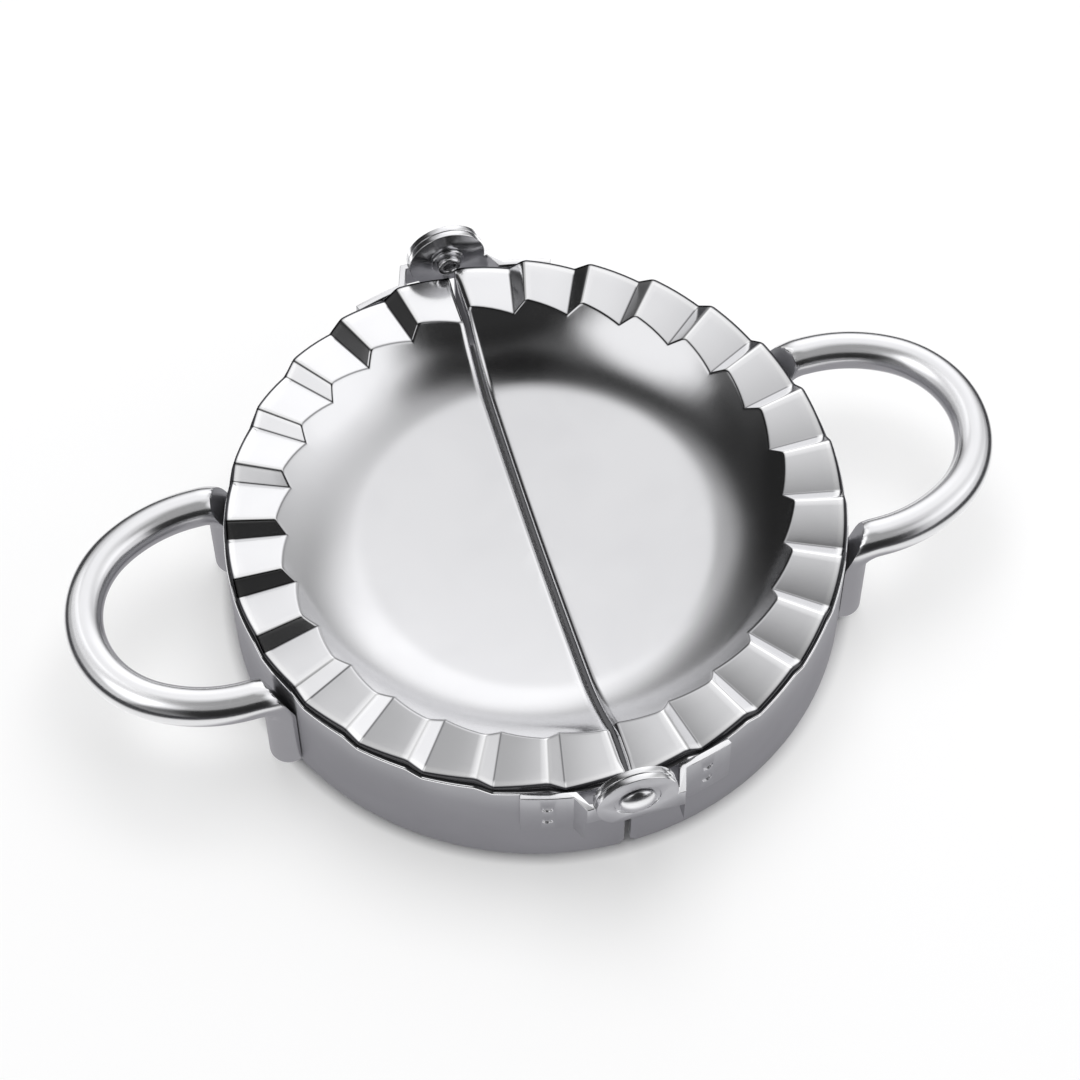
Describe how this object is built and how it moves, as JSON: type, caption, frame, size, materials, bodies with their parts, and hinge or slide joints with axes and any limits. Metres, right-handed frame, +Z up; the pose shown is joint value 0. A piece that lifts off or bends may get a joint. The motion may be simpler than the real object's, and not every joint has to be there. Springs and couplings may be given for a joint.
{
  "type": "folding empanada press",
  "caption": "Folding stainless empanada and dumpling press: half dishes with a pleated rim on a split cutting ring, riveted hinges and bent rod handles.",
  "frame": {"origin": "middle of the press on the surface it stands on, the bottom of the cutting ring", "axes": "+X across the two handles towards the right half, +Y along the hinge line towards the back hinge, +Z up; drawn open and flat"},
  "size_m": [0.146, 0.1052, 0.0271],
  "materials": {
    "dish_steel": "polished pleated rim, satin pressed bowl",
    "ring_steel": "satin stainless band",
    "handle_steel": "polished round bar",
    "hinge_steel": "satin stamped plate",
    "rivet_steel": "bright rivet"
  },
  "bodies": {
    "left_half": {"left_dish": "dish_steel", "left_cutting_ring": "ring_steel", "left_handle": "handle_steel", "front_inner_hinge_plate": "hinge_steel", "back_outer_hinge_plate": "hinge_steel", "back_rivet": "rivet_steel", "back_washer": "rivet_steel"},
    "right_half": {"right_dish": "dish_steel", "right_cutting_ring": "ring_steel", "right_handle": "handle_steel", "back_inner_hinge_plate": "hinge_steel", "front_outer_hinge_plate": "hinge_steel", "front_rivet": "rivet_steel", "front_washer": "rivet_steel"}
  },
  "joints": [
    {"name": "fold", "type": "hinge", "parent": "left_half", "child": "right_half", "pos_m": [0, 0, 0.0209], "axis": [0, -1, 0], "range_deg": [0, 180]}
  ]
}
